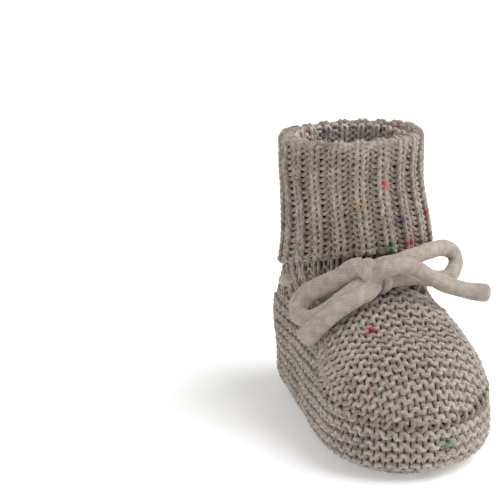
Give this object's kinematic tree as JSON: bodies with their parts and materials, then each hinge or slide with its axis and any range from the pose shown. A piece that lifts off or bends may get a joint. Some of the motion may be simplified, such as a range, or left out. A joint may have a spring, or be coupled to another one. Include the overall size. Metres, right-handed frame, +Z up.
{
  "type": "baby bootie",
  "caption": "Hand-knitted baby bootie with garter-stitch foot, turned-down ribbed cuff and soft tie bow at the ankle.",
  "frame": {"origin": "on the floor under the middle of the bootie's box, measured without the bow", "axes": "+Z up, -Y towards the toe, +X towards the side on the right of someone facing the toe"},
  "size_m": [0.0662, 0.1109, 0.0955],
  "materials": {
    "garter_wool": "soft heathered wool, garter stitch, coloured flecks",
    "rib_wool": "soft heathered wool, 1x1 rib, coloured flecks",
    "seam_yarn": "wool sewing yarn",
    "tie_jersey": "fine-gauge knitted jersey tube, matt"
  },
  "bodies": {
    "foot": {"sole_left_half": "garter_wool", "sole_right_half": "garter_wool", "side_band": "garter_wool", "vamp": "garter_wool", "ankle_band": "garter_wool", "leg_rib": "rib_wool", "sole_seam": "seam_yarn", "vamp_seam": "seam_yarn", "heel_seam": "seam_yarn", "leg_seam": "seam_yarn", "tie_lacing": "tie_jersey", "bow_knot": "tie_jersey"},
    "turned_cuff": {"cuff": "rib_wool", "cuff_seam": "seam_yarn"},
    "loop_left": {"bow_loop_left": "tie_jersey"},
    "loop_right": {"bow_loop_right": "tie_jersey"},
    "tail_left": {"tie_tail_left": "tie_jersey"},
    "tail_right": {"tie_tail_right": "tie_jersey"}
  },
  "joints": [
    {"name": "cuff_turn_up", "type": "slide", "parent": "foot", "child": "turned_cuff", "axis": [0, -0.0872, 0.9962], "range_m": [0, 0.025]},
    {"name": "loop_left_lift", "type": "hinge", "parent": "foot", "child": "loop_left", "pos_m": [-0.005, -0.01135, 0.0546], "axis": [0, 0.45, 0.893], "range_deg": [0, 25]},
    {"name": "loop_right_lift", "type": "hinge", "parent": "foot", "child": "loop_right", "pos_m": [-0.005, -0.01135, 0.0546], "axis": [0, -0.4, -0.9165], "range_deg": [0, 25]},
    {"name": "tail_left_lift", "type": "hinge", "parent": "loop_left", "child": "tail_left", "pos_m": [-0.005, -0.01135, 0.0546], "axis": [-0.475, 0.6586, 0.5837], "range_deg": [0, 30]},
    {"name": "tail_right_lift", "type": "hinge", "parent": "loop_right", "child": "tail_right", "pos_m": [-0.005, -0.01135, 0.0546], "axis": [-0.1802, -0.8011, -0.5708], "range_deg": [0, 30]}
  ]
}
